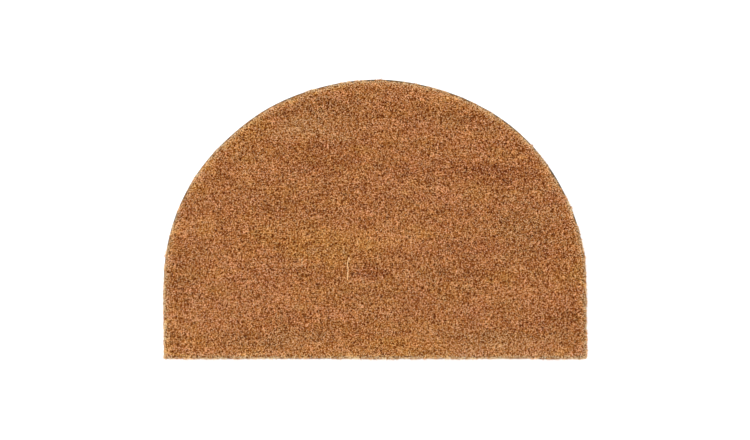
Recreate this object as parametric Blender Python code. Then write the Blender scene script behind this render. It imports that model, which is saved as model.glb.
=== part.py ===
"""Half-round coir doormat: upright coir pile bonded into a die-cut vinyl backing.

Metres, +Z up. The mat lies flat with its underside at z = 0, its straight front edge towards -Y
and its curved edge towards +Y. The origin is under the middle of the outline's box.
"""

import math
import random

import bmesh
import bpy
from mathutils import Vector
from mathutils.geometry import delaunay_2d_cdt

# Driving dimensions of the cut outline: a half ellipse on a short rectangle
WIDTH = 0.600
ARC_RISE = 0.288
SIDE_LENGTH = 0.108
CORNER_RADIUS = 0.0015
CORNER_STEPS = 3

# Heights
BACKING_THICKNESS = 0.0025
BACKING_EDGE_ROUND = 0.0005
SEAT_GAP = 0.0003
PILE_TOP = 0.0148

# Places that follow from them
HALF_WIDTH = WIDTH / 2
FRONT_Y = -(ARC_RISE + SIDE_LENGTH) / 2
ARC_CENTRE_Y = FRONT_Y + SIDE_LENGTH
PILE_FLOOR = BACKING_THICKNESS + SEAT_GAP
PILE_HEIGHT = PILE_TOP - PILE_FLOOR

# How the knife strays from the true curve, outwards, by the angle round the curve from the +X side
KNIFE_STRAY = (
    # degrees, millimetres
    (0, -0.6),
    (24, -0.7),
    (36, 0.2),
    (43, 1.2),
    (51, 1.5),
    (64, 0.4),
    (75, -0.3),
    (87, 0.4),
    (108, -0.9),
    (120, -0.5),
    (132, -1.2),
    (150, 0.2),
    (165, 0.4),
    (180, 0.5),
)

# The backing's cut edge from below
BACKING_EDGE = (
    # inset from the cut line, height
    (BACKING_EDGE_ROUND, 0.0),
    (0.0, BACKING_EDGE_ROUND),
    (0.0, BACKING_THICKNESS - BACKING_EDGE_ROUND),
    (BACKING_EDGE_ROUND, BACKING_THICKNESS),
)
BACKING_EDGE_PITCH = 0.009

# The pile's edge from the backing up: its fibres lean out a little, and the shears round it off
PILE_EDGE = (
    # inset from the cut line in millimetres, share of the pile's height
    (1.6, 0.00),
    (1.0, 0.40),
    (0.7, 0.75),
    (1.6, 0.95),
    (4.0, 1.00),
)
# The tufts at the edge, which stand unevenly
TUFT_PITCH = 0.0056
TUFT_STRAY = 0.0009
TUFT_SEED = 11
# On the curve a lip of backing shows; on the straight edges the tufts lean out over it
STRAIGHT_EDGE_OVERHANG = 0.0008
LIP_FADE_DEGREES = 20

# The sheared top: tufts in staggered rows along X, on shallow swells that run with the rows
ROW_PITCH = 0.0105
TUFTS_APART_IN_ROW = 0.0125
TOP_TUFT_STRAY = 0.0004
TOP_MARGIN = 0.006
SWELLS = (
    # length along X in metres, length along Y in metres, height in millimetres
    (0.310, 0.047, 0.22),
    (-0.190, 0.072, 0.18),
    (0.440, -0.033, 0.14),
    (-0.120, 0.110, 0.10),
)


def clear_scene():
    for obj in list(bpy.data.objects):
        bpy.data.objects.remove(obj, do_unlink=True)


def smooth_step(share):
    share = min(max(share, 0.0), 1.0)
    return share * share * (3 - 2 * share)


def steps_along(length, pitch):
    return max(1, round(length / pitch))


def knife_stray(degrees):
    """How far out the cut lies at this angle, eased from row to row of KNIFE_STRAY, in metres."""
    for (start, stray), (end, next_stray) in zip(KNIFE_STRAY, KNIFE_STRAY[1:]):
        if degrees <= end:
            share = smooth_step((degrees - start) / (end - start))
            return (stray + (next_stray - stray) * share) / 1000
    return KNIFE_STRAY[-1][1] / 1000


def corner(side, corner_x, corner_y, first_degrees):
    """The small round at one end of the straight front edge."""
    stations = []
    for step in range(CORNER_STEPS):
        angle = math.radians(first_degrees + 90 * step / CORNER_STEPS)
        out = Vector((math.cos(angle), math.sin(angle)))
        centre = Vector((side * corner_x, corner_y))
        stations.append((centre + CORNER_RADIUS * out, out, 0.0))
    return stations


def curve(half_width, rise, pitch):
    """The half ellipse from the +X side over the top, moved in or out by the knife's stray."""
    stations = []
    steps = steps_along(math.pi * (HALF_WIDTH + ARC_RISE) / 2, pitch)
    for step in range(steps):
        degrees = 180 * step / steps
        angle = math.radians(degrees)
        place = Vector((half_width * math.cos(angle), ARC_CENTRE_Y + rise * math.sin(angle)))
        out = Vector((rise * math.cos(angle), half_width * math.sin(angle))).normalized()
        from_ends = min(degrees, 180 - degrees)
        curved = smooth_step(from_ends / LIP_FADE_DEGREES)
        stations.append((place + out * knife_stray(degrees), out, curved))
    return stations


def outline(inset, pitch):
    """The cut outline drawn in by inset, anticlockwise from the front left corner.

    Each station is (place, outward direction, curved), where curved is 0 on the straight edges
    and 1 on the curve. Outlines of one pitch have as many stations whatever their inset.
    """
    half_width = HALF_WIDTH - inset
    front = FRONT_Y + inset
    corner_x = half_width - CORNER_RADIUS
    corner_y = front + CORNER_RADIUS
    front_steps = steps_along(WIDTH, pitch)
    side_steps = steps_along(SIDE_LENGTH, pitch)

    stations = []
    for step in range(front_steps):
        x = corner_x * (2 * step / front_steps - 1)
        stations.append((Vector((x, front)), Vector((0.0, -1.0)), 0.0))
    stations += corner(1, corner_x, corner_y, 270)
    for step in range(side_steps):
        share = step / side_steps
        x = half_width + knife_stray(0) * share
        y = corner_y + (ARC_CENTRE_Y - corner_y) * share
        stations.append((Vector((x, y)), Vector((1.0, 0.0)), 0.0))
    stations += curve(half_width, ARC_RISE - inset, pitch)
    for step in range(side_steps):
        share = 1 - step / side_steps
        x = -half_width - knife_stray(180) * share
        y = corner_y + (ARC_CENTRE_Y - corner_y) * share
        stations.append((Vector((x, y)), Vector((-1.0, 0.0)), 0.0))
    stations += corner(-1, corner_x, corner_y, 180)
    return stations


def inside(x, y, inset):
    """Whether a place lies inside the true outline drawn in by inset."""
    half_width = HALF_WIDTH - inset
    if abs(x) > half_width or y < FRONT_Y + inset:
        return False
    above = max(y - ARC_CENTRE_Y, 0.0) / (ARC_RISE - inset)
    return (x / half_width) ** 2 + above ** 2 < 1.0


def swell(x, y):
    """The shallow unevenness of the top: a sum of slanting waves."""
    height = 0.0
    for along, across, millimetres in SWELLS:
        height += millimetres / 1000 * math.sin(2 * math.pi * (x / along + y / across))
    return height


def join_rings(mesh, lower, upper):
    """A band of quads between two rings with as many points."""
    for index in range(len(lower)):
        after = (index + 1) % len(lower)
        mesh.faces.new((lower[index], lower[after], upper[after], upper[index]))


def material(name, colour, roughness):
    made = bpy.data.materials.new(name)
    made.use_nodes = True
    shader = made.node_tree.nodes["Principled BSDF"]
    shader.inputs["Base Color"].default_value = (*colour, 1.0)
    shader.inputs["Roughness"].default_value = roughness
    shader.inputs["Metallic"].default_value = 0.0
    return made


def add_object(name, mesh, finish):
    """Makes the finished mesh into a named object with its faces pointing out."""
    bmesh.ops.triangulate(mesh, faces=mesh.faces[:])
    bmesh.ops.recalc_face_normals(mesh, faces=mesh.faces[:])
    data = bpy.data.meshes.new(name)
    mesh.to_mesh(data)
    mesh.free()
    data.materials.append(finish)
    data.shade_smooth()
    data.set_sharp_from_angle(angle=math.radians(40))
    obj = bpy.data.objects.new(name, data)
    bpy.context.scene.collection.objects.link(obj)
    return obj


def make_backing():
    """The vinyl sheet: flat below and above, with its cut edge a little eased."""
    mesh = bmesh.new()
    rings = []
    for inset, height in BACKING_EDGE:
        stations = outline(inset, BACKING_EDGE_PITCH)
        rings.append([mesh.verts.new((*place, height)) for place, _, _ in stations])
    for lower, upper in zip(rings, rings[1:]):
        join_rings(mesh, lower, upper)
    mesh.faces.new(rings[0][::-1])
    mesh.faces.new(rings[-1])
    return add_object("backing", mesh, material("black_vinyl", (0.022, 0.022, 0.021), 0.55))


def pile_edge_rings(mesh):
    """The pile's standing edge: each tuft keeps its own stray outwards and up from foot to tip."""
    strays = random.Random(TUFT_SEED)
    tufts = [(strays.uniform(-1, 1), strays.uniform(-1, 1)) for _ in outline(0.0, TUFT_PITCH)]
    rings = []
    for millimetres, share in PILE_EDGE:
        ring = []
        stations = outline(millimetres / 1000, TUFT_PITCH)
        for (place, out, curved), (outwards, upwards) in zip(stations, tufts):
            reach = outwards * TUFT_STRAY + STRAIGHT_EDGE_OVERHANG * (1 - curved)
            x, y = place + out * reach * share
            rise = swell(x, y) + upwards * TOP_TUFT_STRAY
            ring.append(mesh.verts.new((x, y, PILE_FLOOR + (PILE_HEIGHT + rise) * share)))
        rings.append(ring)
    return rings


def top_tuft_places():
    """Places of the top's tufts, row by row, every other row moved along by half a step."""
    places = []
    strays = random.Random(TUFT_SEED + 1)
    rows = steps_along(ARC_RISE + SIDE_LENGTH, ROW_PITCH)
    steps = steps_along(WIDTH, TUFTS_APART_IN_ROW)
    for row in range(rows):
        y = FRONT_Y + (row + 0.5) * ROW_PITCH
        for step in range(steps):
            x = (step + 0.5 * (row % 2)) * TUFTS_APART_IN_ROW - HALF_WIDTH
            rise = swell(x, y) + strays.uniform(-1, 1) * TOP_TUFT_STRAY
            if inside(x, y, PILE_EDGE[-1][0] / 1000 + TOP_MARGIN):
                places.append((x, y, PILE_TOP + rise))
    return places


def fill_top(mesh, ring):
    """Closes the top over its tufts with triangles between them and the edge's last ring."""
    tufts = [mesh.verts.new(place) for place in top_tuft_places()]
    points = ring + tufts
    flat = [point.co.to_2d() for point in points]
    border = list(range(len(ring)))
    _, _, triangles, sources, _, _ = delaunay_2d_cdt(flat, [], [border], 1, 1e-6)
    for triangle in triangles:
        mesh.faces.new([points[sources[index][0]] for index in triangle])


def make_pile():
    """The coir: one slab, its tufts uneven at the edge and over the sheared top."""
    mesh = bmesh.new()
    rings = pile_edge_rings(mesh)
    for lower, upper in zip(rings, rings[1:]):
        join_rings(mesh, lower, upper)
    mesh.faces.new(rings[0][::-1])
    fill_top(mesh, rings[-1])
    return add_object("coir_pile", mesh, material("coir", (0.389, 0.153, 0.053), 0.95))


def main():
    clear_scene()
    make_backing()
    make_pile()


main()
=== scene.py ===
import bpy
import numpy as np
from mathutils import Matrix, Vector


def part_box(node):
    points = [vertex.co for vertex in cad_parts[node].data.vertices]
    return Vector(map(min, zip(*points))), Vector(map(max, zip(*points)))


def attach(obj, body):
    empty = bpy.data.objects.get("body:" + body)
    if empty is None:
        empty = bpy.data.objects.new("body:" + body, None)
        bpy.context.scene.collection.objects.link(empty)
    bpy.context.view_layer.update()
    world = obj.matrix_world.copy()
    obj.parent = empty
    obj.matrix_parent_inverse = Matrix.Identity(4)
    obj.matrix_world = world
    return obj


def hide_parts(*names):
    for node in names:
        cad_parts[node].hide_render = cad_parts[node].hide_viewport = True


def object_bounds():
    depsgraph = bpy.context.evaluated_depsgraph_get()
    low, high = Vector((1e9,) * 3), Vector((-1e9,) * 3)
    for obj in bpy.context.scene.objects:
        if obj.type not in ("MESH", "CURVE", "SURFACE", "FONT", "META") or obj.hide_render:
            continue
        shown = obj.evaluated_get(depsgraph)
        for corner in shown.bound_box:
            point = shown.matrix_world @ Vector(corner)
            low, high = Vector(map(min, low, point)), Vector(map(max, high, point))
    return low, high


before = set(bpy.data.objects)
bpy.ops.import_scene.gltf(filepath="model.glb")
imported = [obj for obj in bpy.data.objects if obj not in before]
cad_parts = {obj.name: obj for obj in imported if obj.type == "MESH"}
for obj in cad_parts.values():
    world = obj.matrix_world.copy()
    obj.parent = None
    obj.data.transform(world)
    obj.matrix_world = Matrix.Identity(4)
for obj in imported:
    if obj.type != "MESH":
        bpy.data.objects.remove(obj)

cad_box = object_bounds()


# The backing
# A sheet of soft black vinyl, 2.5 mm thick, into which the coir's feet are sunk while it is warm.
# One stroke of a knife then cuts sheet and pile together, and leaves the lip that shows on the curve.

CURVE_RISE = 0.288            # m, from where the straight sides end to the top of the curve
EDGE_EASE = 0.0005            # m, how far the knife rounds the sheet's edge
EDGE_BULGE = 0.3              # of EDGE_EASE, how far in the middle of that round lies
STEP_ALONG_CUT = 0.002        # m, between points along the cut
PEBBLES = 900.0               # in a metre, in the grain from the casting belt
PEBBLE_DEPTH = 0.0003         # m
DUST_CLOUDS = 45.0            # in a metre, of dust
UP_FACE_LIGHTER = 0.35               # how much lighter and browner a face is, the more it looks up

sheet_low, sheet_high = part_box("backing")
HEART = np.array([0.0, sheet_high.y - CURVE_RISE])     # the middle of the curve


def points_of(name):
    """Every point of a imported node, as rows of x, y, z."""
    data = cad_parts[name].data
    found = np.empty(len(data.vertices) * 3, np.float32)
    data.vertices.foreach_get("co", found)
    return found.reshape(-1, 3).astype(float)


def read_cut_line():
    """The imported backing's widest ring, anticlockwise, as rows of x, y.

    Its points are those at the height where the rounded edge ends, in the order of their angle
    about HEART, each angle once.
    """
    points = points_of("backing")
    widest = points[np.abs(points[:, 2] - sheet_low.z - EDGE_EASE) < EDGE_EASE / 4, :2]
    angle = np.arctan2(*(widest - HEART).T[::-1])
    _, order = np.unique(angle.round(5), return_index=True)
    return widest[order]


cut_line = read_cut_line()
cut_stretch = np.roll(cut_line, -1, axis=0) - cut_line
cut_length = np.linalg.norm(cut_stretch, axis=1)
cut_outward = np.stack([cut_stretch[:, 1], -cut_stretch[:, 0]], axis=1) / cut_length[:, None]
CUT_ROUND = cut_length.sum()


def along_cut(distance):
    """Places on the cut line at these distances along it, and the directions that point out there.

    A place is the start of its stretch plus its share of it. The direction is that of the stretch
    plus half of that of the nearer neighbour, at unit length.
    """
    ends = np.cumsum(cut_length)
    distance = distance % CUT_ROUND
    stretch = np.minimum(np.searchsorted(ends, distance, side="right"), len(ends) - 1)
    share = (distance - ends[stretch] + cut_length[stretch]) / cut_length[stretch]
    places = cut_line[stretch] + cut_stretch[stretch] * share[:, None]
    after = cut_outward[(stretch + 1) % len(ends)]
    before = cut_outward[stretch - 1]
    outward = cut_outward[stretch] + np.where(share[:, None] > 0.5, after, before) * 0.5
    return places, outward / np.linalg.norm(outward, axis=1)[:, None]


def mesh_piece(name, points, quads, triangles, finish, uv=None, smooth=True):
    """A piece at the origin from its points, its faces and, if given, each point's place on its map."""
    corners = np.concatenate([np.ravel(quads), np.ravel(triangles)]).astype(np.int32)
    sizes = np.repeat([4, 3], [len(quads), len(triangles)])
    data = bpy.data.meshes.new(name)
    data.vertices.add(len(points))
    data.vertices.foreach_set("co", np.ravel(points).astype(np.float32))
    data.loops.add(len(corners))
    data.loops.foreach_set("vertex_index", corners)
    data.polygons.add(len(sizes))
    data.polygons.foreach_set("loop_start", (np.cumsum(sizes) - sizes).astype(np.int32))
    data.update(calc_edges=True)
    if uv is not None:
        layer = data.uv_layers.new(name="OFBake")
        layer.uv.foreach_set("vector", np.ravel(uv[corners]).astype(np.float32))
    if smooth:
        data.shade_smooth()
    data.materials.append(finish)
    piece = bpy.data.objects.new(name, data)
    bpy.context.scene.collection.objects.link(piece)
    return piece


def skin_of_rings(rings, first_pole, last_pole):
    """Points and faces of a closed skin over an array of rings, rows by points by 3, and its poles.

    Ring i is joined to ring i + 1 by quads and each end ring to its pole by triangles, so that the
    faces point out where the rings run anticlockwise and from the lowest outwards and up.
    """
    rows, across = rings.shape[:2]
    points = np.concatenate([rings.reshape(-1, 3), [first_pole, last_pole]])
    here = np.arange(across)
    after = (here + 1) % across
    low = np.arange(rows - 1)[:, None] * across
    quads = np.stack([low + here, low + after, low + across + after, low + across + here], axis=-1)
    top = (rows - 1) * across
    bottom_fan = np.stack([after, here, np.full(across, rows * across)], axis=1)
    top_fan = np.stack([top + here, top + after, np.full(across, rows * across + 1)], axis=1)
    return points, quads.reshape(-1, 4), np.concatenate([bottom_fan, top_fan])


def new_material(name):
    """An empty node material and its Principled shader."""
    made = bpy.data.materials.new(name)
    made.use_nodes = True
    return made, made.node_tree.nodes["Principled BSDF"]


def node(tree, kind, inputs=(), **settings):
    """A node of that kind with its settings, and with values or links on its named inputs."""
    made = tree.nodes.new(kind)
    for key, value in settings.items():
        setattr(made, key, value)
    for key, value in dict(inputs).items():
        if isinstance(value, bpy.types.NodeSocket):
            tree.links.new(value, made.inputs[key])
        else:
            made.inputs[key].default_value = value
    return made


def shades(tree, factor, rows):
    """A colour ramp by that factor, with a stop for each row of its place and its colour."""
    ramp = node(tree, "ShaderNodeValToRGB", {"Fac": factor})
    stops = ramp.color_ramp.elements
    while len(stops) < len(rows):
        stops.new(0.5)
    for stop, (place, colour) in zip(stops, rows):
        stop.position = place
        stop.color = (*colour, 1)
    return ramp.outputs["Color"]


def vinyl():
    """Matt black vinyl with a fine pebbled grain from the casting belt, clouds of coir dust, and
    lighter, browner faces where they look up.

    The colour comes from a cloudy noise of dust plus a share of how far the face looks up, from
    clean black to the brown of coir.
    """
    made, shader = new_material("black_vinyl")
    tree = made.node_tree
    coordinates = node(tree, "ShaderNodeTexCoord")
    place = coordinates.outputs["Object"]
    grain = node(tree, "ShaderNodeTexVoronoi", {"Vector": place, "Scale": PEBBLES})
    cloud = node(tree, "ShaderNodeTexNoise", {"Vector": place, "Scale": DUST_CLOUDS, "Detail": 5.0})
    facing = node(tree, "ShaderNodeSeparateXYZ", {"Vector": coordinates.outputs["Normal"]})
    up_facing = node(tree, "ShaderNodeMapRange", {"Value": facing.outputs["Z"], "To Max": UP_FACE_LIGHTER})
    both = {0: cloud.outputs["Fac"], 1: up_facing.outputs["Result"]}
    # the cloudy dust, plus lighter and browner where the face looks up
    dust = node(tree, "ShaderNodeMath", both, operation="ADD").outputs["Value"]
    rows = (
        # amount of dust plus how far the face looks up, colour
        (0.35, (0.014, 0.013, 0.012)),
        (0.65, (0.036, 0.030, 0.022)),
        (0.95, (0.155, 0.092, 0.036)),
    )
    tree.links.new(shades(tree, dust, rows), shader.inputs["Base Color"])
    matt = {"Value": cloud.outputs["Fac"], "To Min": 0.60, "To Max": 0.80}
    rough = node(tree, "ShaderNodeMapRange", matt)
    tree.links.new(rough.outputs["Result"], shader.inputs["Roughness"])
    shader.inputs["Specular IOR Level"].default_value = 0.25
    relief = {"Height": grain.outputs["Distance"], "Strength": 0.35, "Distance": PEBBLE_DEPTH}
    bump = node(tree, "ShaderNodeBump", relief)
    tree.links.new(bump.outputs["Normal"], shader.inputs["Normal"])
    return made


def make_backing():
    """The sheet as rings of the cut line: drawn in by an inset at its edge, and scaled on its faces."""
    steps = int(CUT_ROUND / STEP_ALONG_CUT)
    places, outward = along_cut(np.arange(steps) * CUT_ROUND / steps)
    low, high = sheet_low.z, sheet_high.z
    profile = (
        # scale about the middle, inset in metres, height in metres
        (0.30, EDGE_EASE, low),
        (0.70, EDGE_EASE, low),
        (0.96, EDGE_EASE, low),
        (1.00, EDGE_EASE, low),
        (1.00, EDGE_EASE * EDGE_BULGE, low + EDGE_EASE * EDGE_BULGE),
        (1.00, 0.0, low + EDGE_EASE),
        (1.00, 0.0, high - EDGE_EASE),
        (1.00, EDGE_EASE * EDGE_BULGE, high - EDGE_EASE * EDGE_BULGE),
        (1.00, EDGE_EASE, high),
        (0.98, EDGE_EASE, high),
        (0.50, EDGE_EASE, high),
    )
    rings = np.empty((len(profile), steps, 3))
    for ring, (scale, inset, height) in zip(rings, profile):
        ring[:, :2] = HEART + (places - outward * inset - HEART) * scale
        ring[:, 2] = height
    points, quads, triangles = skin_of_rings(rings, (*HEART, low), (*HEART, high))
    return mesh_piece("vinyl_sheet", points, quads, triangles, vinyl())


backing = make_backing()
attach(backing, "root")
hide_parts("backing")
sheet_size = sheet_high - sheet_low


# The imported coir
# The lower part of the pile, where the fibres stand so close that they hold each other up. It is one
# closed body: a clumpy top a few millimetres down with pits in it, and a wall just inside the cut.

SHEARED = 0.0148              # m, the height that the pile is sheared to
SWELLS = (
    # length along X in metres, length along Y in metres, height in millimetres
    (0.310, 0.047, 0.22),
    (-0.190, 0.072, 0.18),
    (0.440, -0.033, 0.14),
    (-0.120, 0.110, 0.10),
)
BED_SINK = 0.0034             # m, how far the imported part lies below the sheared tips
BED_INSET = 0.0032            # m, from the cut line to its wall
BED_SHOULDER = 0.0035         # m, over which its top rounds down to the wall
BED_DROP = 0.0025             # m, how far the round goes down
BED_WALL = (0.66, 0.33, 0.0)  # shares of the border's height, at the rings of the wall
BED_COLUMNS = 270
BED_SIDE_ROWS = 48
BED_CURVE_ROWS = 118
CLUMP_PITCH = 0.0013          # m, between the clumps that the fibres gather in
CLUMP_REACH = 0.75            # of CLUMP_PITCH, from a clump's middle to where it ends
CLUMP_RELIEF = 0.0010         # m, how far the bed falls between clumps
CLUMP_VARIES = 0.4            # by how much of that the clumps differ in height
PIT_PITCH = 0.0030            # m, between the pits
PIT_RADIUS = 0.0010           # m
PIT_DROP = 0.0035             # m, how far the bed and the tips fall in the deepest pit
PIT_DEPTH = 0.78              # of PIT_DROP, in the usual pit
PIT_LEAST = 0.1               # of PIT_DROP, in the shallowest
PIT_VARIES = 0.50             # how much the pits differ in width and in depth
PIT_FLOOR = 0.3               # of a pit's radius or a parting's width, out to its deepest part's end
PIT_SLOPE = 0.9               # of a pit's radius, across the slope round that part
PARTING_WIDTH = 0.0012        # m, across half of one
PARTINGS = (
    # where the fibres part along a line: from x, y to x, y in millimetres, and how deep, 0 to 1
    (228, 99, 201, 98, 0.60),
    (115, 88, 146, 88, 0.40),
    (241, -140, 256, -142, 0.50),
    (272, -178, 281, -183, 0.50),
)
FIBRE_ENDS = 1500.0           # in a metre, side by side
SPECKLE = 0.45                # how much lighter than the darkest the lightest fibre end is
END_FALL_AND_SHADE = 0.32               # how much darker an end is one cell away from its middle, as painted shade between ends; the same fall shapes the relief
END_RELIEF = 0.0010           # m
BED_LIGHT = 0.14              # lightness between the clumps: painted shade in the gaps
BED_CLUMP_LIGHT = 0.20        # how much lighter a clump is than the gaps, more or less by its own number
BED_TONE = 0.9                # how much of the pile's tones the bed shows
BED_PIT_SHADE = 0.8           # share of its lightness that a pit takes away, as painted shade
BED_PIT_SHADE_ADDED = 0.07           # and how much darker it is besides, painted shade too
WALL_PAINTED_SHADE = -0.1             # lightness of the wall and the floor: painted shade, darkest, where they lie under the tips
WALL_HUE = 0.30
USUAL_HUE = 0.33              # of the coir, on the scale of make_coir_tone
USUAL_GREY = 0.04             # share of grey fibres
LIGHT_HILLS = (
    # length along X and along Y in millimetres, how much lighter, seed
    (8, 6, 0.006, 31),
    (28, 10, 0.014, 32),
    (80, 16, 0.016, 33),
    (400, 27, 0.009, 34),
)
HUE_HILLS = (
    # length along X and along Y in millimetres, how much more golden, seed
    (12, 7, 0.045, 50),
    (40, 13, 0.042, 51),
    (120, 30, 0.040, 52),
)
GREY_HILLS = (
    # length along X and along Y in millimetres, how many more grey fibres, seed
    (30, 12, 0.050, 53),
)
PATCH_BEND_X = 0.009          # m, how far a patch's border is bent along X
PATCH_BEND_Y = 0.003          # m, and along Y
PATCH_CORE = 0.5              # of a patch's half sizes, as far as it has its full tone
PATCH_FADE = 0.9              # of its half sizes, from there to where it ends
TONE_PATCHES = (
    # x, y, half length, half width in millimetres, lighter, more golden, share of grey fibres
    (-83, 153, 48, 17, -0.100, 0.00, 0.22),
    (64, 144, 90, 9, -0.090, -0.03, 0.14),
    (-105, 125, 70, 16, 0.065, 0.03, 0.37),
    (-75, 82, 64, 26, -0.085, -0.06, -0.05),
    (85, 125, 46, 13, 0.050, 0.02, 0.00),
    (149, 70, 90, 15, -0.090, -0.09, -0.05),
    (-116, -22, 62, 32, 0.020, 0.11, 0.00),
    (14, -30, 68, 18, 0.090, 0.12, 0.00),
    (213, -3, 46, 41, 0.015, -0.04, 0.27),
    (-17, -74, 20, 10, -0.135, -0.20, -0.10),
    (130, -75, 48, 22, -0.060, -0.05, 0.04),
    (-123, -170, 70, 15, -0.025, -0.02, 0.36),
    (187, -170, 86, 15, 0.020, 0.00, 0.41),
    (-272, -90, 20, 29, -0.040, -0.04, 0.20),
    (-158, -133, 53, 15, 0.010, 0.06, 0.00),
    (-249, -12, 31, 17, 0.080, 0.07, 0.00),
    (-249, -147, 50, 22, 0.060, 0.04, 0.00),
    (56, -164, 50, 15, 0.040, 0.00, 0.05),
    (170, 12, 35, 10, -0.050, -0.04, 0.00),
    (-121, 12, 71, 10, -0.050, -0.04, 0.00),
    (-90, -86, 40, 16, -0.040, -0.12, 0.00),
    (230, -98, 30, 14, 0.045, 0.00, 0.00),
    (0, -187, 330, 22, 0.070, 0.02, 0.00),
    (-142, -78, 36, 12, -0.070, -0.05, 0.00),
    (-207, -28, 32, 11, 0.065, 0.00, 0.00),
    (149, 103, 40, 9, -0.065, -0.12, 0.00),
    (-123, -10, 40, 9, -0.060, 0.00, 0.00),
    (189, -76, 30, 15, 0.000, -0.14, 0.00),
    (-178, 82, 14, 17, 0.000, 0.00, 0.24),
    (-290, -129, 9, 28, 0.010, 0.14, -0.20),
    (-82, 178, 11, 6, 0.020, 0.20, -0.50),
    (-256, 83, 13, 17, 0.030, 0.27, -0.80),
    (-169, 137, 9, 8, 0.030, 0.20, -0.70),
    (-126, 162, 6, 5, 0.030, 0.27, -0.80),
    (-283, -186, 13, 9, 0.030, 0.27, -0.80),
    (290, -72, 7, 22, 0.030, 0.27, -0.80),
)


def sheared_height(x, y):
    """The height of the tips: SHEARED plus a sine wave for each row of SWELLS."""
    height = np.full(np.shape(x), SHEARED)
    for along, across, millimetres in SWELLS:
        height += millimetres / 1000 * np.sin(2 * np.pi * (x / along + y / across))
    return height


def eased(share):
    """0 below 0, 1 above 1, and share squared times (3 - 2 share) between."""
    share = np.clip(share, 0, 1)
    return share * share * (3 - 2 * share)


def hills(x, y, length_x, length_y, seed):
    """Smooth random hills with mean 0 and spread about 1.

    Each corner of a lattice with cells of length_x by length_y has a random height, and the height
    between four corners is their mix by the eased shares of the way across the cell.
    """
    cells = 256
    heights = np.random.default_rng(seed).standard_normal((cells + 1, cells + 1))
    heights *= 1.5            # makes up for the spread that the mixing takes away
    away_from_corner = 1000.5
    across = x / length_x + away_from_corner
    up = y / length_y + away_from_corner
    column, row = np.floor(across).astype(int), np.floor(up).astype(int)
    right, above = eased(across - column), eased(up - row)
    column, row = column % cells, row % cells
    low = heights[row, column] * (1 - right) + heights[row, column + 1] * right
    high = heights[row + 1, column] * (1 - right) + heights[row + 1, column + 1] * right
    return low * (1 - above) + high * above


def sum_of_hills(x, y, rows):
    """Hills for each row of its lengths in millimetres, its height and its seed, added together."""
    return sum(high * hills(x, y, wide / 1000, deep / 1000, seed) for wide, deep, high, seed in rows)


def nearest_clump(x, y, pitch, seed):
    """The way from each place to its nearest clump's middle, as x and y, and the clump's own number.

    The clumps are the corners of a square lattice, each moved at random by up to a share of a cell.
    Of the nine around a place the nearest is taken. Its own number is random from -1 to 1, less the
    mean of its eight neighbours' numbers, so that neighbours differ.
    """
    rng = np.random.default_rng(seed)
    cells = 512
    furthest = 0.38
    moved = rng.uniform(-furthest, furthest, (2, cells, cells))
    own = rng.uniform(-1, 1, (cells, cells))
    around = [(i, j) for i in (-1, 0, 1) for j in (-1, 0, 1) if i or j]
    own = own - sum(np.roll(own, step, axis=(0, 1)) for step in around) / len(around)
    column, row = np.round(x / pitch).astype(int), np.round(y / pitch).astype(int)
    best = np.full(np.shape(x), np.inf)
    way_x, way_y, number = np.zeros((3, *np.shape(x)))
    for step_x in (-1, 0, 1):
        for step_y in (-1, 0, 1):
            i, j = column + step_x, row + step_y
            to_x = (i + moved[0][j % cells, i % cells]) * pitch - x
            to_y = (j + moved[1][j % cells, i % cells]) * pitch - y
            away = np.hypot(to_x, to_y)
            nearer = away < best
            best = np.where(nearer, away, best)
            way_x, way_y = np.where(nearer, to_x, way_x), np.where(nearer, to_y, way_y)
            number = np.where(nearer, own[j % cells, i % cells], number)
    return way_x, way_y, number


def hollows(x, y):
    """How far each place lies in a pit or a parting, 0 to 1, and the way out of it.

    A pit falls off with the distance from its middle, and a parting with the distance from its line.
    The deeper of all counts, and the way out points straight from that middle or line.
    """
    never_zero = 1e-6
    to_x, to_y, own = nearest_clump(x, y, PIT_PITCH, seed=6)
    away = np.hypot(to_x, to_y) + never_zero
    wide = PIT_RADIUS * (1 + PIT_VARIES * own)
    floor = np.clip(PIT_DEPTH + PIT_VARIES * own, PIT_LEAST, 1)
    deepest = floor * (1 - eased((away / wide - PIT_FLOOR) / PIT_SLOPE))
    out_x, out_y = -to_x / away, -to_y / away
    for start_x, start_y, end_x, end_y, depth in PARTINGS:
        from_x, from_y = x - start_x / 1000, y - start_y / 1000
        run_x, run_y = (end_x - start_x) / 1000, (end_y - start_y) / 1000
        share = (from_x * run_x + from_y * run_y) / (run_x ** 2 + run_y ** 2)
        share = np.clip(share, 0, 1)
        off_x, off_y = from_x - share * run_x, from_y - share * run_y
        away = np.hypot(off_x, off_y) + never_zero
        parted = depth * (1 - eased(away / PARTING_WIDTH - PIT_FLOOR))
        deeper = parted > deepest
        deepest = np.where(deeper, parted, deepest)
        out_x, out_y = np.where(deeper, off_x / away, out_x), np.where(deeper, off_y / away, out_y)
    return deepest, out_x, out_y


def row_tones(x, y):
    """How much lighter the pile is at each place, its hue, and its share of grey fibres.

    Hills of several sizes, longer along the rows than across them, and an oval for each row of
    TONE_PATCHES, whose border is bent by hills too. An oval has its full tone in its core, and
    fades out round it.
    """
    light = sum_of_hills(x, y, LIGHT_HILLS)
    hue = USUAL_HUE + sum_of_hills(x, y, HUE_HILLS)
    grey = USUAL_GREY + sum_of_hills(x, y, GREY_HILLS)
    bent_x = x + PATCH_BEND_X * hills(x, y, 0.030, 0.012, 35)
    bent_y = y + PATCH_BEND_Y * hills(x, y, 0.030, 0.012, 36)
    for middle_x, middle_y, half_x, half_y, lighter, golden, greyer in TONE_PATCHES:
        away = np.hypot((bent_x * 1000 - middle_x) / half_x, (bent_y * 1000 - middle_y) / half_y)
        share = 1 - eased((away - PATCH_CORE) / PATCH_FADE)
        light += lighter * share
        hue += golden * share
        grey += greyer * share
    return light, hue, grey


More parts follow.
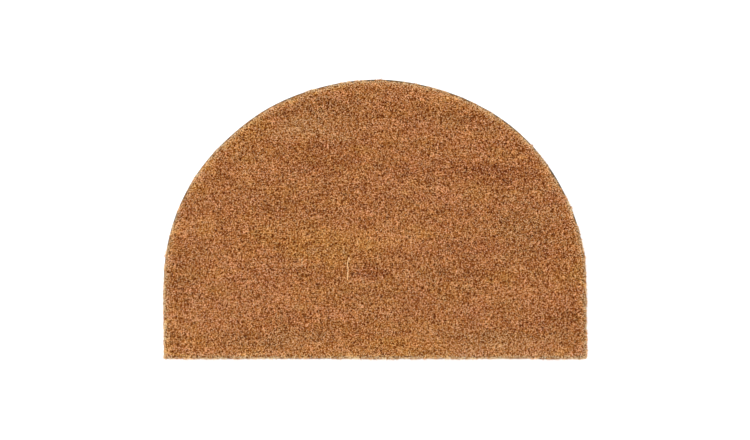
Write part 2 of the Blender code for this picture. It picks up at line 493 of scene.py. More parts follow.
def depth_in(x, y):
    """How far each place lies inside the cut line, and the outward direction of the nearest stretch.

    The distance to a stretch is that to the nearest point on it. It counts as negative for a place
    that its outward direction points at.
    """
    flat_x, flat_y = np.ravel(x), np.ravel(y)
    depth = np.empty(len(flat_x))
    outward = np.empty((2, len(flat_x)))
    at_once = 20000
    for start in range(0, len(flat_x), at_once):
        some = slice(start, start + at_once)
        away_x = flat_x[some, None] - cut_line[:, 0]
        away_y = flat_y[some, None] - cut_line[:, 1]
        share = (away_x * cut_stretch[:, 0] + away_y * cut_stretch[:, 1]) / cut_length ** 2
        share = np.clip(share, 0, 1)
        off_x, off_y = away_x - share * cut_stretch[:, 0], away_y - share * cut_stretch[:, 1]
        distance = np.hypot(off_x, off_y)
        nearest = distance.argmin(axis=1)
        picked = np.arange(len(nearest)), nearest
        way = cut_outward[nearest].T
        outside = off_x[picked] * way[0] + off_y[picked] * way[1] > 0
        depth[some] = np.where(outside, -distance[picked], distance[picked])
        outward[:, some] = way
    shape = np.shape(x)
    return depth.reshape(shape), outward[0].reshape(shape), outward[1].reshape(shape)


def bed_places():
    """The bed's top as a grid of places that ends on the cut line drawn in by BED_INSET.

    On the straight sides' stretch the grid is a rectangle. Above it, across u and up v become
    u sqrt(1 - v^2 / 2) and v sqrt(1 - u^2 / 2), which bends a half square into a half disc.
    """
    half = sheet_size.x / 2 - BED_INSET
    rise = CURVE_RISE - BED_INSET
    front = sheet_low.y + BED_INSET - HEART[1]
    across = np.linspace(-1, 1, BED_COLUMNS + 1)
    side = np.linspace(-1, 0, BED_SIDE_ROWS, endpoint=False)
    u, v = np.meshgrid(across, np.concatenate([side, np.linspace(0, 1, BED_CURVE_ROWS + 1)]))
    x = half * u * np.sqrt(1 - np.maximum(v, 0) ** 2 / 2)
    y = np.where(v > 0, rise * v * np.sqrt(1 - u ** 2 / 2), -front * v)
    return x, y + HEART[1]


def make_coir_tone():
    """The node group Coir tone: the colour of a lightness, times the tint of a hue.

    Hue 0 is red-brown, 0.3 is brown, 0.6 is golden, 0.8 is greyish brown and 1 is straw.
    """
    group = bpy.data.node_groups.new("Coir tone", "ShaderNodeTree")
    for name in ("Hue", "Light"):
        group.interface.new_socket(name, in_out="INPUT", socket_type="NodeSocketFloat")
    group.interface.new_socket("Color", in_out="OUTPUT", socket_type="NodeSocketColor")
    given = group.nodes.new("NodeGroupInput")
    result = group.nodes.new("NodeGroupOutput")
    lights = (
        # light, colour
        (0.00, (0.0430, 0.0075, 0.0004)),
        (0.27, (0.2080, 0.0500, 0.0045)),
        (0.50, (0.5100, 0.1910, 0.0520)),
        (0.72, (0.7650, 0.3870, 0.1620)),
        (0.90, (0.8900, 0.5900, 0.3400)),
        (1.00, (1.0000, 0.8100, 0.5800)),
    )
    hues = (
        # hue, colour to multiply by
        (0.00, (1.000, 0.852, 0.870)),
        (0.30, (1.000, 0.878, 0.755)),
        (0.60, (1.000, 0.922, 0.562)),
        (0.80, (0.920, 0.905, 0.818)),
        (1.00, (0.835, 0.928, 0.882)),
    )
    lit = shades(group, given.outputs["Light"], lights)
    tint = shades(group, given.outputs["Hue"], hues)
    # a Mix node's sockets by place: 0 factor, 6 and 7 the two colours, and 2 the resulting colour
    both = {0: 1.0, 6: lit, 7: tint}
    tinted = node(group, "ShaderNodeMix", both, data_type="RGBA", blend_type="MULTIPLY").outputs[2]
    group.links.new(tinted, result.inputs["Color"])
    return group


coir_tone = make_coir_tone()


def bed_material():
    """Packed coir: round fibre ends close together, brown on the clumps, with painted shade in the gaps
    and the pits.

    An end's lightness is that of its place, plus a random share of SPECKLE, less the way from its
    middle times a fall, which paints shade between the ends. The same fall gives the relief.
    """
    made, shader = new_material("packed_coir")
    tree = made.node_tree
    place = node(tree, "ShaderNodeTexCoord").outputs["Object"]
    ends = node(tree, "ShaderNodeTexVoronoi", {"Vector": place, "Scale": FIBRE_ENDS})
    own = node(tree, "ShaderNodeSeparateColor", {"Color": ends.outputs["Color"]})
    light = node(tree, "ShaderNodeAttribute", attribute_name="light").outputs["Fac"]
    hue = node(tree, "ShaderNodeAttribute", attribute_name="hue").outputs["Fac"]
    # a Math node's sockets are known by their place
    speckle = {0: own.outputs["Red"], 1: SPECKLE, 2: light}
    speckled = node(tree, "ShaderNodeMath", speckle, operation="MULTIPLY_ADD").outputs["Value"]
    # the fall: painted shade towards each end's edge, and the height of the relief
    fall = {0: ends.outputs["Distance"], 1: -END_FALL_AND_SHADE}
    falling = node(tree, "ShaderNodeMath", fall, operation="MULTIPLY").outputs["Value"]
    rounded = node(tree, "ShaderNodeMath", {0: speckled, 1: falling}, operation="ADD").outputs["Value"]
    tone = node(tree, "ShaderNodeGroup", node_tree=coir_tone)
    tree.links.new(hue, tone.inputs["Hue"])
    tree.links.new(rounded, tone.inputs["Light"])
    tree.links.new(tone.outputs["Color"], shader.inputs["Base Color"])
    shader.inputs["Roughness"].default_value = 0.95
    shader.inputs["Specular IOR Level"].default_value = 0.05
    bump = node(tree, "ShaderNodeBump", {"Height": falling, "Strength": 1.0, "Distance": END_RELIEF})
    tree.links.new(bump.outputs["Normal"], shader.inputs["Normal"])
    return made


def make_bed():
    """The clumpy top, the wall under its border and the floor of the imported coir, as one closed skin.

    The top is the sheared height less BED_SINK, the round at the border, the fall between clumps
    and the fall in pits. The wall's rings are the border's, brought down by shares of its height.
    """
    x, y = bed_places()
    depth, _, _ = depth_in(x, y)
    to_x, to_y, own = nearest_clump(x, y, CLUMP_PITCH, seed=5)
    clump = 1 - eased(np.hypot(to_x, to_y) / (CLUMP_REACH * CLUMP_PITCH))
    clump *= 1 + CLUMP_VARIES * own
    hollow, _, _ = hollows(x, y)
    round_down = 1 - eased((depth - BED_INSET) / BED_SHOULDER)
    z = sheared_height(x, y) - BED_SINK - BED_DROP * round_down
    z -= CLUMP_RELIEF * (1 - clump) + PIT_DROP * hollow

    rows, columns = x.shape
    index = np.arange(rows * columns).reshape(rows, columns)
    quads = np.stack([index[:-1, :-1], index[:-1, 1:], index[1:, 1:], index[1:, :-1]], axis=-1)
    border = np.concatenate([index[0, :-1], index[:-1, -1], index[-1, :0:-1], index[:0:-1, 0]])
    top = np.stack([x, y, z], axis=-1).reshape(-1, 3)
    floor = sheet_high.z
    wall = [top[border] * (1, 1, share) + (0, 0, floor * (1 - share)) for share in BED_WALL]
    count = len(border)
    rings = [border] + [len(top) + k * count + np.arange(count) for k in range(len(wall))]
    bands = [
        np.stack([below, np.roll(below, -1), np.roll(above, -1), above], axis=-1)
        for above, below in zip(rings, rings[1:])
    ]
    quads = np.concatenate([quads.reshape(-1, 4), *bands])
    pole = len(top) + len(wall) * count
    fan = np.stack([np.roll(rings[-1], -1), rings[-1], np.full(count, pole)], axis=-1)
    points = np.concatenate([top, *wall, [[*HEART, floor]]])
    piece = mesh_piece("packed_coir", points, quads, fan, bed_material())

    lighter, hue, _ = row_tones(x, y)
    # painted shade: darker in the gaps between clumps, and darker still in the pits
    light = BED_LIGHT + BED_CLUMP_LIGHT * clump + BED_TONE * lighter
    light = light * (1 - BED_PIT_SHADE * hollow) - BED_PIT_SHADE_ADDED * hollow
    for name, on_top, below in (("light", light, WALL_PAINTED_SHADE), ("hue", hue, WALL_HUE)):
        values = np.full(len(points), below, np.float32)
        values[:len(top)] = on_top.ravel()
        piece.data.attributes.new(name, "FLOAT", "POINT").data.foreach_set("value", values)
    return piece


bed = make_bed()
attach(bed, "root")
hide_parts("coir_pile")


# The sheared tips
# The upper part of the pile: stiff coir fibres that lean together in clumps, part at small pits and
# are sheared level. Each is a three-sided spike with its point in the bed and its cut end up.

TIP_PITCH = 0.00106           # m, between fibres
TIP_LENGTH = 0.0065           # m, of which the upper half shows
TIP_THICK = 0.00095           # m
TIP_THINNEST = 0.65           # of TIP_THICK
TIP_THICKEST = 1.35           # of TIP_THICK
TIP_CUT = (
    # the corners of the cut, in thicknesses: along and across the cut, and up the fibre
    (0.75, 0.00, 0.60),
    (-0.45, 0.32, -0.30),
    (-0.45, -0.32, -0.30),
)
TIP_MARGIN = 0.0006           # m, from the lip to the tips, and from the bed's wall to the roots
CLUMP_EDGE = 0.8              # of CLUMP_PITCH, from a clump's middle to the gap round it
LEAN_TO_CLUMP = 0.9           # of the way to its clump's middle, by which a fibre leans
LEAN_OUT_OF_PIT = 0.0015      # m
LEAN_WITH_REST = 0.0012       # m, by which a fibre leans as those around it do
LEAN_ALONE = 0.0012           # m, by which it leans on its own
TOP_LOWEST = -0.0006          # m, from the sheared height to the lowest cut ends
TOP_HIGHEST = 0.0003          # m, and to the highest
GAP_DROP = 0.0006             # m, how much lower the fibres between clumps end
RIM_DROP = 0.0009             # m, how much lower those at the cut edge end
RIM_ROUND = 0.004             # m, from the cut line to where they are level with the rest
STRIPS = 4

# lightness, on a scale on which 0 is darkest and 1.1 is lightest
TIP_LIGHT = 0.848             # of the usual tip
TIP_PAINTED_SHEEN = 0.10              # painted highlight and shade: how much lighter the cut's high corner is, the others half that darker
TIP_LIGHT_VARIES = 0.13       # from fibre to fibre
CLUMP_CONTRAST = 0.43         # from clump to clump
RIM_CONTRAST = 0.46           # how much more the clumps differ at the cut edge
GAP_SHADE = 0.15              # painted shade: how much darker the tips between clumps are
RIM_FADE = 0.0065             # m, over which the paler fibres of the cut edge give way to the rest
RIM_LIGHT = 0.34              # how much lighter they are on the sides and the curve
RIM_PAINTED_LIGHT_LEFT = 0.10         # painted light from the top left: how much lighter still on the left, and less light on the right
RIM_LIGHT_FRONT = 0.22        # how much lighter they are on the front
RIM_TUFTS = 0.12              # from tuft to tuft there
RING_IN = 0.0048              # m, from the cut line to a ring of lighter tips
RING_WIDTH = 0.0026           # m, across half of it
RING_LIGHT = 0.17             # how much lighter they are on the sides
RING_LIGHT_BACK = 0.12        # how much lighter still on the curve, most on its right
RING_LIGHT_FRONT = 0.02       # how much lighter they are on the front
RIM_PIT_LESS_SHADE = 0.2            # share of its lightness that a tip keeps in a pit at the cut edge: less painted shade there
DARKEST = 0.01
LIGHTEST = 0.98
LIGHTEST_RIM = 0.12           # how much lighter than that a tip at the cut edge may be
ROOT_SHADE_PLACE = 0.03             # up the map, of the roots: painted shade, each spike darker from its cut end down to the root

# hue, on the scale of make_coir_tone
GREYISH_HUE = 0.80            # of the greyish fibres among the brown ones
STRAW_HUE = 0.98              # of the bleached fibres at the cut edge
RIM_HUE = 0.14                # how much more golden the brown ones are there
HUE_VARIES = 0.03             # from fibre to fibre
GREY_TIPS = 2                 # times the share of grey fibres in row_tones, the greyish tips
BLEACHED_IN = 0.0015          # m, from the cut line, as far as most fibres are bleached
BLEACHED_FADE = 0.0042        # m, over which they give way to the rest
BLEACHED_SHARE = 0.85         # of the outermost fibres
BLEACHED_VARIES = 0.15        # from place to place along the cut
MAP_TOP = 0.9                 # up the map, of lightness 1
MAP_ASIDE = 0.003             # on the map, from a fibre's place to its corners

# the lip of backing
LIP = 0.0018                  # m of backing that shows along the curve
LIP_START_LEFT = -0.105       # m, the place in Y from which it shows on the left
LIP_START_RIGHT = -0.050      # m, and on the right
LIP_EASE = 0.030              # m, over which it comes to its full width
LIP_UNEVEN = 0.0003           # m, how much more uneven the fibres' edge is there
OVERHANG = 0.0008             # m that the fibres hang over the straight edges
STRAIGHT_WAVER = 0.0004       # m, how far that changes along them
STRAIGHT_UNEVEN = 0.0002      # m, how uneven the fibres' edge is there


def tufted(x, y):
    """Hills as wide as a tuft, by which the fibres of the cut edge differ."""
    return hills(x, y, 0.0028, 0.0028, 44)


def lip_share(x, y):
    """1 where the lip of backing shows, 0 on the straight edges, and eased between the two.

    It changes a little above the straight sides, lower on the left than on the right.
    """
    return eased((y - np.where(x < 0, LIP_START_LEFT, LIP_START_RIGHT)) / LIP_EASE)


def lip_bare(x, y):
    """How far in from the cut line the fibres stay: LIP on the curve and -OVERHANG on straight edges.

    Where hills along the cut rise high enough the fibres hang over the lip, and smaller hills make
    it uneven. The straight edges waver by longer hills.
    """
    curved = lip_share(x, y)
    over = eased(1.3 * hills(x, y, 0.009, 0.009, 82) - 0.1)
    uneven = hills(x, y, 0.005, 0.005, 81) * (STRAIGHT_UNEVEN + LIP_UNEVEN * curved)
    waver = STRAIGHT_WAVER * (hills(x, y, 0.055, 0.055, 83) + 0.5 * hills(x, y, 0.016, 0.016, 84))
    return LIP * curved * (1 - over) + (waver - OVERHANG) * (1 - curved) + uneven


def bleached_share(x, y):
    """The share of bleached fibres at the cut edge: BLEACHED_SHARE, changed by hills along it."""
    return BLEACHED_SHARE + BLEACHED_VARIES * hills(x, y, 0.011, 0.011, 43)


def fibre_hues(rng, pale_share, pale_hue, hue):
    """Each fibre's hue: pale_hue at random in that share of places, hue elsewhere, and a spread."""
    hue = np.where(rng.random(len(hue)) < pale_share, pale_hue, hue)
    return np.clip(hue + HUE_VARIES * rng.standard_normal(len(hue)), 0.02, 0.98)


def fibre_map(hue, light, spread=0.0):
    """The map places of three corners for each hue and lightness, which goes up to 1.1.

    The first corner is lighter by spread and the others darker by half of it, as painted highlight
    and shade. All three lie a little apart, so that no face is without width on the map.
    """
    fixed = np.radians(20) + np.arange(3) * 2 * np.pi / 3
    u = hue[..., None] + MAP_ASIDE * np.cos(fixed)
    v = MAP_TOP * light[..., None] + MAP_ASIDE * np.sin(fixed)
    v = v + MAP_TOP * spread * np.array([1.0, -0.5, -0.5])
    return np.clip(np.stack([u, v], axis=-1), 0.001, 0.999)


def square_to(run, seed):
    """Two unit directions square to each run and to each other, turned round it at random."""
    turn = np.random.default_rng(seed).uniform(0, 2 * np.pi, (len(run), 1))
    never_zero = 1e-6
    level = np.stack([-run[:, 1], run[:, 0], np.full(len(run), never_zero)], axis=1)
    level /= np.linalg.norm(level, axis=1)[:, None]
    first = np.cos(turn) * level + np.sin(turn) * np.cross(run, level)
    return first, np.cross(run, first)


def spikes(root, tip, thick, hue, light, seed):
    """Three-sided pyramids from a point at the root to a slanting cut at the tip, on the fibres' map.

    The cut's corners are those of TIP_CUT times the thickness: how far they lie from the tip along
    the two directions square to the run, and along the run.
    """
    count = len(root)
    run = tip - root
    run /= np.linalg.norm(run, axis=1)[:, None]
    first, second = square_to(run, seed)
    cut = np.array(TIP_CUT)
    corners = sum(cut[:, [k]] * way[:, None] for k, way in enumerate((first, second, run)))
    corners = tip[:, None] + corners * thick[:, None, None]
    points = np.concatenate([root[:, None], corners], axis=1).reshape(-1, 3)
    shape = np.array([0, 2, 1, 0, 3, 2, 0, 1, 3, 1, 2, 3])
    faces = (np.arange(count)[:, None] * 4 + shape).reshape(-1, 3)
    # painted shade: the root lies low on the map, so each spike darkens down towards it
    shaded_root = np.stack([hue, np.full(count, ROOT_SHADE_PLACE)], axis=1)[:, None]
    uv = np.concatenate([shaded_root, fibre_map(hue, light, TIP_PAINTED_SHEEN)], axis=1)
    return points, faces, uv.reshape(-1, 2)


def fibre_material():
    """Coir fibre: its colour is read from its place on the map, across by hue, up by lightness."""
    made, shader = new_material("coir_fibre")
    tree = made.node_tree
    where = node(tree, "ShaderNodeUVMap", uv_map="OFBake").outputs["UV"]
    parts = node(tree, "ShaderNodeSeparateXYZ", {"Vector": where})
    tone = node(tree, "ShaderNodeGroup", node_tree=coir_tone)
    tree.links.new(parts.outputs["X"], tone.inputs["Hue"])
    tree.links.new(parts.outputs["Y"], tone.inputs["Light"])
    tree.links.new(tone.outputs["Color"], shader.inputs["Base Color"])
    shader.inputs["Roughness"].default_value = 0.8
    shader.inputs["Specular IOR Level"].default_value = 0.08
    return made


coir_fibre = fibre_material()


def tip_places():
    """Where the tips are, inside the lip, with their depth and the way out from depth_in.

    They stand in staggered rows, each moved at random by up to half of TIP_PITCH.
    """
    rng = np.random.default_rng(21)
    columns, rows = int(sheet_size.x / TIP_PITCH) + 2, int(sheet_size.y / TIP_PITCH) + 2
    x, y = np.meshgrid(np.arange(columns) * TIP_PITCH, np.arange(rows) * TIP_PITCH)
    x = x + sheet_low.x + TIP_PITCH / 2 * (np.arange(rows)[:, None] % 2)
    x = (x + rng.uniform(-0.5, 0.5, x.shape) * TIP_PITCH).ravel()
    y = (y + sheet_low.y + rng.uniform(-0.5, 0.5, y.shape) * TIP_PITCH).ravel()
    depth, outward_x, outward_y = depth_in(x, y)
    kept = depth > lip_bare(x, y) + TIP_MARGIN
    return x[kept], y[kept], depth[kept], outward_x[kept], outward_y[kept]


def clump_gap(to_x, to_y):
    """0 to 1, how far a place lies in the gap between clumps, by the way to its clump's middle."""
    return eased(np.hypot(to_x, to_y) / (CLUMP_EDGE * CLUMP_PITCH))


def tip_ends(rng, places, pits, clumps):
    """The root and the tip of each fibre.

    A fibre leans towards its clump's middle, out of pits, with the rest around it and on its own,
    and its root lies that far back, but not outside the bed. It is cut at the sheared height, and
    lower between clumps, at the cut edge and in pits.
    """
    x, y, depth, outward_x, outward_y = places
    hollow, away_x, away_y = pits
    to_x, to_y, _ = clumps
    lean_x = LEAN_TO_CLUMP * to_x + LEAN_OUT_OF_PIT * hollow * away_x
    lean_y = LEAN_TO_CLUMP * to_y + LEAN_OUT_OF_PIT * hollow * away_y
    lean_x += LEAN_WITH_REST * hills(x, y, 0.007, 0.007, 41)
    lean_y += LEAN_WITH_REST * hills(x, y, 0.007, 0.007, 42)
    root_x = x - lean_x - rng.normal(0, LEAN_ALONE, len(x))
    root_y = y - lean_y - rng.normal(0, LEAN_ALONE, len(x))
    root_depth, _, _ = depth_in(root_x, root_y)
    inwards = np.maximum(BED_INSET + TIP_MARGIN - root_depth, 0)
    root_x -= inwards * outward_x
    root_y -= inwards * outward_y
    top = sheared_height(x, y) + rng.uniform(TOP_LOWEST, TOP_HIGHEST, len(x))
    top -= GAP_DROP * clump_gap(to_x, to_y)
    top -= RIM_DROP * (1 - eased(depth / RIM_ROUND)) + PIT_DROP * hollow
    return np.stack([root_x, root_y, top - TIP_LENGTH], axis=1), np.stack([x, y, top], axis=1)


def tip_tones(rng, places, pits, clumps):
    """The hue and the lightness of each tip.

    Lightness is the usual one, changed by the clump's own number, painted shade in the gaps, a random
    spread and the rows' tones. The rim, with painted light on its left, and the ring inside it add to
    it, each e to the power of minus the square of how many widths away it is, and pits take a share
    away as painted shade. Pale fibres are greyish, and straw at the cut edge.
    """
    x, y, depth, outward_x, outward_y = places
    hollow, _, _ = pits
    to_x, to_y, own = clumps
    lighter, hue, grey = row_tones(x, y)
    front = outward_y < -0.5
    rim = np.exp(-(depth / RIM_FADE) ** 2)
    # painted light from the top left on the rim: lighter on the left, darker on the right
    rim_light = np.where(front, RIM_LIGHT_FRONT, RIM_LIGHT - RIM_PAINTED_LIGHT_LEFT * outward_x)
    ring = np.exp(-((depth - RING_IN) / RING_WIDTH) ** 2)
    ring_light = RING_LIGHT + RING_LIGHT_BACK * outward_y * (1 + outward_x)
    light = TIP_LIGHT + (CLUMP_CONTRAST + RIM_CONTRAST * rim) * own
    # a random spread, and painted shade between clumps
    light += TIP_LIGHT_VARIES * rng.standard_normal(len(x)) - GAP_SHADE * clump_gap(to_x, to_y)
    light += lighter + rim * (rim_light + RIM_TUFTS * tufted(x, y))
    light += ring * np.where(front, RING_LIGHT_FRONT, ring_light)
    # painted shade in the pits, less of it at the cut edge
    light *= 1 - (1 - RIM_PIT_LESS_SHADE * rim) * hollow
    light = np.clip(light, DARKEST, LIGHTEST + LIGHTEST_RIM * rim)
    outermost = 1 - eased((depth - BLEACHED_IN) / BLEACHED_FADE)
    pale_share = GREY_TIPS * grey + outermost * bleached_share(x, y)
    pale_hue = GREYISH_HUE + (STRAW_HUE - GREYISH_HUE) * outermost
    return fibre_hues(rng, pale_share, pale_hue, hue + RIM_HUE * rim), light


def make_tips():
    """A piece of spikes for each strip of the mat, from the front to the back."""
    places = tip_places()
    x, y = places[:2]
    rng = np.random.default_rng(22)
    pits = hollows(x, y)
    clumps = nearest_clump(x, y, CLUMP_PITCH, seed=5)
    root, tip = tip_ends(rng, places, pits, clumps)
    thick = TIP_THICK * rng.uniform(TIP_THINNEST, TIP_THICKEST, len(x))
    hue, light = tip_tones(rng, places, pits, clumps)
    strip = np.arange(len(x)) * STRIPS // len(x)
    no_quads = np.empty((0, 4), int)
    pieces = []
    for number in range(STRIPS):
        inside = strip == number
        given = (values[inside] for values in (root, tip, thick, hue, light))
        points, faces, uv = spikes(*given, 60 + number)
        name = f"sheared_tips_{number + 1}"
        pieces.append(mesh_piece(name, points, no_quads, faces, coir_fibre, uv, smooth=False))
    return pieces


for piece in make_tips():
    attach(piece, "root")


# The standing edge
# Where the knife went through the pile the fibres show from foot to tip. They lean out a little and
# splay, so that on the straight edges their tips hang over the backing.

EDGE_PITCH = 0.00062          # m, along the cut
EDGE_ROWS = (
    # inset of the feet from the cut line, of the tips from the lip's end, and thickness, in millimetres
    (4.0, 1.5, 0.62),
    (3.1, 0.7, 0.58),
    (2.3, 0.0, 0.52),
)
LEAST_OVERHANG = 0.0004       # m, on the straight edges, so that no backing shows there
LEFT_COVER = 0.40             # share of the lip that the rods cover on the left
LEFT_EASE = 0.05              # m, from the mat's middle to where they cover that much
RAGGED = 0.00040              # m, how far the rods stand out in small tufts
FOOT_STRAY = 0.0003           # m, by which a foot is moved in or out
EDGE_STRAY = 0.0004           # m, by which a tip is moved in or out, and a rod's middle along the cut
EDGE_DRIFT = 0.0011           # m, by which a tip is moved along the cut
EDGE_DROP = 0.0006            # m, from the sheared height to the tallest tips
EDGE_SHORT = 0.0007           # m, from there to the usual tip
FEET_SUNK = 0.0003            # m, how deep the feet stand in the backing
EDGE_TAPER = (1.1, 1.0, 0.8)  # of a rod's thickness, at its foot, middle and tip
EDGE_LIGHT = 0.82             # lightness of the usual tip
EDGE_LIGHT_VARIES = 0.16      # from fibre to fibre
EDGE_TUFTS = 0.16             # and from tuft to tuft
EDGE_SHADE = (0.45, 0.75, 1)  # painted shade: share of a rod's lightness, at its foot, middle and tip
EDGE_HUE = 0.10               # how much more golden than the rest the brown ones are


def rods(line, thick, hue, light, seed):
    """Three-sided rods along lines of points, closed at both ends, on the fibres' map.

    line is rods by points by 3, and thick, the width, and light are rods by points. Round each
    point of a line stand three corners, square to the rod's run from end to end.
    """
    count, steps = line.shape[:2]
    run = line[:, -1] - line[:, 0]
    first, second = square_to(run / np.linalg.norm(run, axis=1)[:, None], seed)
    thirds = np.arange(3)[:, None] * 2 * np.pi / 3
    around = np.cos(thirds) * first[:, None] + np.sin(thirds) * second[:, None]
    points = line[:, :, None] + around[:, None] * thick[:, :, None, None] / 2
    corner = (np.arange(count)[:, None, None] * steps + np.arange(steps)[:, None]) * 3 + np.arange(3)
    here, there = corner[:, :-1], corner[:, 1:]
    quads = np.stack([here, np.roll(here, -1, axis=2), np.roll(there, -1, axis=2), there], axis=-1)
    ends = np.concatenate([corner[:, 0, ::-1], corner[:, -1]])
    uv = fibre_map(np.broadcast_to(hue[:, None], light.shape), light)
    return points.reshape(-1, 3), quads.reshape(-1, 4), ends, uv.reshape(-1, 2)


def edge_bare(x, y):
    """lip_bare for the rods, ragged by hills as wide as a few fibres.

    They hang over a straight edge by LEAST_OVERHANG or more, and cover some of the lip on the left.
    """
    bare = lip_bare(x, y)
    bare = np.where(lip_share(x, y) > 0, bare, np.minimum(bare, -LEAST_OVERHANG))
    bare *= 1 - LEFT_COVER * eased(-x / LEFT_EASE)
    return bare + RAGGED * hills(x, y, 0.0018, 0.0018, 85)


def edge_row(rng, foot, head, width):
    """The lines, thicknesses, hues and lightnesses of one row of rods.

    The cut is divided evenly, and a rod stands at random in each part. Its line runs from a foot
    in the backing through a middle half way to a tip below the sheared height.
    """
    count = int(CUT_ROUND / EDGE_PITCH)
    at = (np.arange(count) + rng.uniform(0, 1, count)) * CUT_ROUND / count
    places, outward = along_cut(at)
    x, y = places.T
    along = np.stack([-outward[:, 1], outward[:, 0]], axis=1)
    foot_in = foot / 1000 + rng.uniform(-FOOT_STRAY, FOOT_STRAY, count)
    head_in = head / 1000 + edge_bare(x, y) + rng.normal(0, EDGE_STRAY, count)
    drift = rng.normal(0, EDGE_DRIFT, count)
    bow = rng.normal(0, EDGE_STRAY, count)
    foot_place = places - outward * foot_in[:, None]
    head_place = places - outward * head_in[:, None] + along * drift[:, None]
    middle_place = (foot_place + head_place) / 2 + along * bow[:, None]
    top = sheared_height(*head_place.T) - EDGE_DROP - rng.exponential(EDGE_SHORT, count)
    low = sheet_high.z - FEET_SUNK
    line = np.stack([
        np.column_stack([foot_place, np.full(count, low)]),
        np.column_stack([middle_place, (low + top) / 2]),
        np.column_stack([head_place, top]),
    ], axis=1)
    thick = width / 1000 * rng.uniform(0.75, 1.25, (count, 1)) * np.array(EDGE_TAPER)
    light = EDGE_LIGHT + EDGE_LIGHT_VARIES * rng.standard_normal(count) + EDGE_TUFTS * tufted(x, y)
    # painted shade, darker down towards the foot
    light = np.clip(light, 0.1, 1.08)[:, None] * np.array(EDGE_SHADE)
    _, hue, grey = row_tones(x, y)
    hue = fibre_hues(rng, grey + bleached_share(x, y), STRAW_HUE, hue + EDGE_HUE)
    return line, thick, hue, light


def make_edge():
    """Rows of rods round the cut, the outer ones with their tips further out."""
    rng = np.random.default_rng(71)
    rows = [edge_row(rng, *row) for row in EDGE_ROWS]
    points, quads, ends, uv = rods(*map(np.concatenate, zip(*rows)), 72)
    return mesh_piece("standing_edge", points, quads, ends, coir_fibre, uv, smooth=False)


edge = make_edge()
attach(edge, "root")


# The loose fibres
# Longer fibres that the shears missed or that worked loose. They lie on the tips in shallow curves.

LOOSE_COUNT = 1900
LOOSE_MARGIN = 0.006          # m, from the cut line to their middles
LOOSE_SHORTEST = 0.003        # m
LOOSE_LONGEST = 0.0085        # m
LOOSE_THICK = 0.00042         # m
LOOSE_BEND = 70               # in 1 / m, spread of the arcs' bend
LOOSE_ALONG = (
    # height over the sheared tips in metres and share of the thickness, from end to end
    (-0.0010, 0.7),
    (0.0001, 1.0),
    (0.0004, 1.0),
    (0.0002, 1.0),
    (-0.0008, 0.7),
)
STRAYS = (
    # thickness in millimetres, and x, y of the points along it in millimetres
    (1.15, (
        (-36.0, -58.6), (-37.6, -53.6), (-39.7, -62.7),
        (-38.6, -70.0), (-39.4, -81.3), (-39.3, -86.0),
    )),
    (0.80, ((-103.5, -54.5), (-104.2, -58.0), (-103.8, -62.0), (-104.1, -66.0))),
    (0.85, ((-45.0, -40.5), (-44.4, -44.0), (-44.9, -48.7))),
    (0.75, ((-24.5, -29.0), (-25.1, -32.0), (-24.8, -36.3))),
)
STRAY_LIFT = 0.0007           # m over the sheared tips
STRAY_TUCK = 0.0008           # m, how far their two ends are tucked in
STRAY_HUE = 0.45
STRAY_LIGHT = 1.05


def scattered():
    """The rods of the scattered fibres: arcs of a random length, heading and bend.

    An arc leaves its heading sideways by its bend times the square of the way from its middle.
    """
    rng = np.random.default_rng(91)
    x = rng.uniform(sheet_low.x, sheet_high.x, LOOSE_COUNT * 2)
    y = rng.uniform(sheet_low.y, sheet_high.y, LOOSE_COUNT * 2)
    depth, _, _ = depth_in(x, y)
    inside = np.flatnonzero(depth > LOOSE_MARGIN)[:LOOSE_COUNT]
    count = len(inside)
    lying, taper = np.array(LOOSE_ALONG).T
    length = rng.uniform(LOOSE_SHORTEST, LOOSE_LONGEST, (count, 1))
    along = np.linspace(-0.5, 0.5, len(lying)) * length
    heading = rng.uniform(0, 2 * np.pi, (count, 1))
    aside = rng.normal(0, LOOSE_BEND, (count, 1)) * along ** 2
    arc_x = x[inside, None] + along * np.cos(heading) - aside * np.sin(heading)
    arc_y = y[inside, None] + along * np.sin(heading) + aside * np.cos(heading)
    arc_z = sheared_height(arc_x, arc_y) + lying + rng.uniform(-0.0004, 0.0002, (count, 1))
    line = np.stack([arc_x, arc_y, arc_z], axis=-1)
    thick = LOOSE_THICK * rng.uniform(0.8, 1.4, (count, 1)) * taper
    light = np.repeat(rng.uniform(0.65, 0.96, (count, 1)), len(lying), axis=1)
    return rods(line, thick, rng.uniform(0.1, 0.9, count), light, 92)


def stray(millimetres, places):
    """The rod of one stray: straight from point to point, with its two ends tucked in."""
    bend = np.array(places) / 1000
    fine = np.linspace(0, len(bend) - 1, 3 * len(bend))
    x, y = (np.interp(fine, np.arange(len(bend)), bend[:, axis]) for axis in (0, 1))
    z = sheared_height(x, y) + STRAY_LIFT
    z[[0, -1]] -= STRAY_TUCK
    line = np.column_stack([x, y, z])[None]
    thick = np.full((1, len(fine)), millimetres / 1000)
    light = np.full((1, len(fine)), STRAY_LIGHT)
    return rods(line, thick, np.array([STRAY_HUE]), light, 93)


def make_loose():
    """The scattered fibres and the strays, joined into one piece."""
    meshes = [scattered()] + [stray(*row) for row in STRAYS]
    points, quads, ends, uv = zip(*meshes)
    first = np.cumsum([0] + [len(some) for some in points])
    quads = [some + start for some, start in zip(quads, first)]
    ends = [some + start for some, start in zip(ends, first)]
    points, quads, ends, uv = map(np.concatenate, (points, quads, ends, uv))
    return mesh_piece("loose_fibres", points, quads, ends, coir_fibre, uv, smooth=False)


loose = make_loose()
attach(loose, "root")


# The floor, the light and the camera
# A plain pale floor, an even soft light from above with a little more from the top left, and a long
# lens straight above the mat, framed as in the photograph.

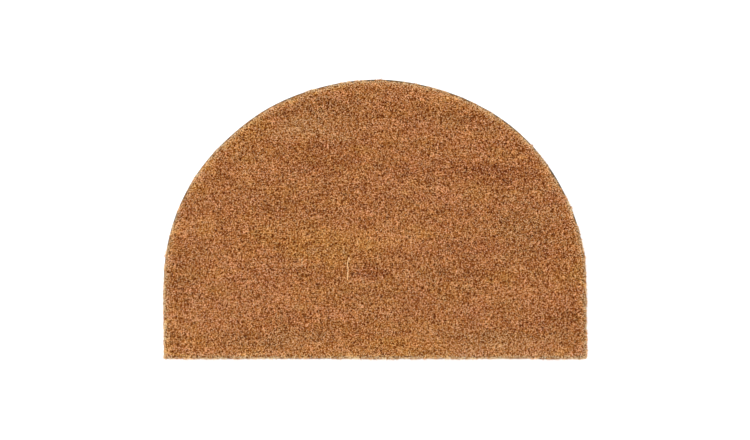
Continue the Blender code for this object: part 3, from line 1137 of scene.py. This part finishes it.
FLOOR_HALF = 60.0             # m
FLOOR_DROP = 0.0002           # m, below the backing
ALL_ROUND_LIGHT = 1.75        # strength of the even light
SUN_LIGHT = 1.0               # strength of the light from the top left
SUN_SPREAD = 20               # degrees across it
SUN_TILT = (-20, -25, 0)      # degrees about X, Y and Z, from straight above
FRAME_WIDE = 750              # pixels
FRAME_HIGH = 440
MAT_LEFT = 163.3              # pixels across the frame
MAT_RIGHT = 587.3
MAT_TOP = 79.3                # pixels down the frame
MAT_BOTTOM = 359.2
LENS = 360.0                  # mm
SENSOR = 36.0                 # mm


def make_floor():
    """One square, near white, with a faint cloudiness."""
    made, shader = new_material("pale_floor")
    tree = made.node_tree
    place = node(tree, "ShaderNodeTexCoord").outputs["Object"]
    cloud = node(tree, "ShaderNodeTexNoise", {"Vector": place, "Scale": 3.0})
    pale = {"Value": cloud.outputs["Fac"], "To Min": 0.95, "To Max": 0.97}
    shade = node(tree, "ShaderNodeMapRange", pale)
    tree.links.new(shade.outputs["Result"], shader.inputs["Base Color"])
    shader.inputs["Roughness"].default_value = 0.9
    corners = np.array([(-1, -1), (1, -1), (1, 1), (-1, 1)]) * FLOOR_HALF
    points = np.column_stack([corners, np.full(4, -FLOOR_DROP)])
    return mesh_piece("floor", points, np.array([[0, 1, 2, 3]]), np.empty((0, 3), int), made)


make_floor()


def light_studio():
    """White light from all round, and one large soft lamp turned by SUN_TILT."""
    world = bpy.data.worlds.new("studio")
    world.use_nodes = True
    background = world.node_tree.nodes["Background"]
    background.inputs["Color"].default_value = (1.0, 1.0, 1.0, 1)
    background.inputs["Strength"].default_value = ALL_ROUND_LIGHT
    bpy.context.scene.world = world
    lamp = bpy.data.lights.new("top_left", "SUN")
    lamp.energy = SUN_LIGHT
    lamp.angle = np.radians(SUN_SPREAD)
    hung = bpy.data.objects.new("top_left", lamp)
    hung.rotation_euler = np.radians(SUN_TILT)
    bpy.context.scene.collection.objects.link(hung)


def make_camera():
    """Straight above, so far up that the mat spans its pixels in a frame of FRAME_WIDE."""
    lens = bpy.data.cameras.new("camera")
    lens.lens = LENS
    lens.sensor_width = SENSOR
    lens.clip_end = 100
    metres_per_pixel = (cad_box[1].x - cad_box[0].x) / (MAT_RIGHT - MAT_LEFT)
    away = metres_per_pixel * FRAME_WIDE * LENS / SENSOR
    x = (FRAME_WIDE / 2 - (MAT_LEFT + MAT_RIGHT) / 2) * metres_per_pixel
    y = ((MAT_TOP + MAT_BOTTOM) / 2 - FRAME_HIGH / 2) * metres_per_pixel
    camera = bpy.data.objects.new("camera", lens)
    camera.location = (x, y, away + SHEARED)
    bpy.context.scene.collection.objects.link(camera)
    bpy.context.scene.camera = camera


light_studio()
make_camera()
bpy.context.scene.view_settings.view_transform = "Standard"
